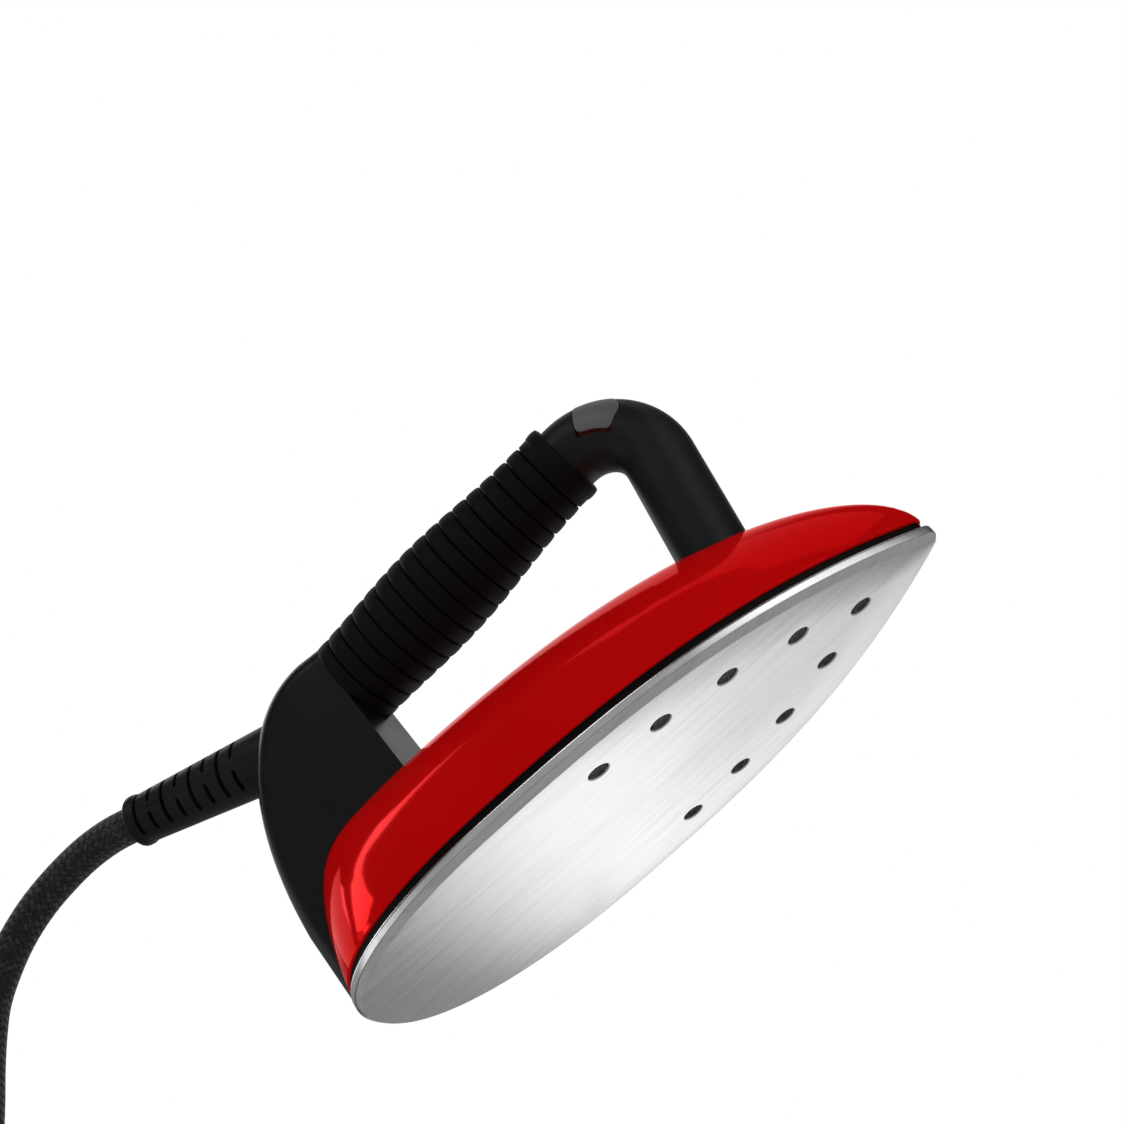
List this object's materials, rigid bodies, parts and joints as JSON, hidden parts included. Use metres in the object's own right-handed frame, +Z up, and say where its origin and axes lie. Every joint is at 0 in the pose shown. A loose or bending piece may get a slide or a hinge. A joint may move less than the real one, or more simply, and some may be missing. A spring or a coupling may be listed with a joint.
{
  "type": "clothes_iron",
  "caption": "Steam station hand iron: brushed soleplate with steam holes, red domed shell, black loop handle with ribbed grip and thumb button, braided steam hose with connector",
  "frame": {"origin": "on the sole face, under the middle of the iron's bounding box without its hose", "axes": "+X to the tip of the soleplate, +Y to the left side of someone who irons tip first, +Z up from the sole face"},
  "size_m": [0.54, 0.1855, 0.1317],
  "materials": {
    "sole": "satin",
    "casting": "as cast",
    "steel": "bright",
    "brass": "machined",
    "red": "gloss",
    "black": "fine texture",
    "button": "satin",
    "soft": "matt",
    "gasket": "matt",
    "ivory": "plain",
    "hose": "silicone",
    "wire": "sleeved",
    "braid": "braided"
  },
  "bodies": {
    "iron": {"soleplate": "sole", "heater_casting": "casting", "heating_element": "steel", "chamber_gasket": "gasket", "chamber_cover": "casting", "cover_screws": "steel", "steam_inlet": "brass", "thermostat": "ivory", "thermal_fuse": "brass", "heat_shield": "black", "red_shell": "red", "front_bracket": "steel", "bracket_screws": "steel", "rear_bracket": "steel", "rear_screws": "steel", "handle_tube": "black", "grip_sleeve": "soft", "button_frame": "red", "button_spring": "steel", "switch_holder": "black", "microswitch": "black", "casing_left": "black", "casing_right": "black", "casing_screws": "steel", "terminal_block": "ivory", "cord_clamp": "steel", "clamp_screws": "steel", "steam_hose": "hose", "hose_clips": "steel", "heater_wires": "wire", "switch_wires": "wire", "strain_relief": "soft", "cord": "braid", "cord_coil": "braid", "connector_boot": "soft", "connector_body": "black", "connector_cover": "black", "connector_screws": "steel", "steam_nozzle": "brass", "nozzle_o_rings": "gasket", "contact_pins": "brass", "latch_pin": "steel", "latch_spring": "steel"},
    "steam_button": {"steam_button": "button"},
    "switch_plunger": {"switch_plunger": "ivory"},
    "connector_latch": {"connector_latch": "black"}
  },
  "joints": [
    {"name": "button_press", "type": "slide", "parent": "iron", "child": "steam_button", "axis": [-0.6157, 0, -0.788], "range_m": [0, 0.001], "stiffness_N_per_m": 400, "deforming": ["button_spring"]},
    {"name": "plunger_slide", "type": "slide", "parent": "iron", "child": "switch_plunger", "axis": [-0.6157, 0, -0.788], "range_m": [0, 0.0008]},
    {"name": "latch_hinge", "type": "hinge", "parent": "iron", "child": "connector_latch", "pos_m": [-0.238, 0.094, 0.021], "axis": [0, -1, 0], "range_deg": [0, 5], "stiffness_Nm_per_rad": 0.2, "deforming": ["latch_spring"]}
  ],
  "couplings": [
    {"joint": "plunger_slide", "follows": "button_press", "ratio": 0.8}
  ]
}
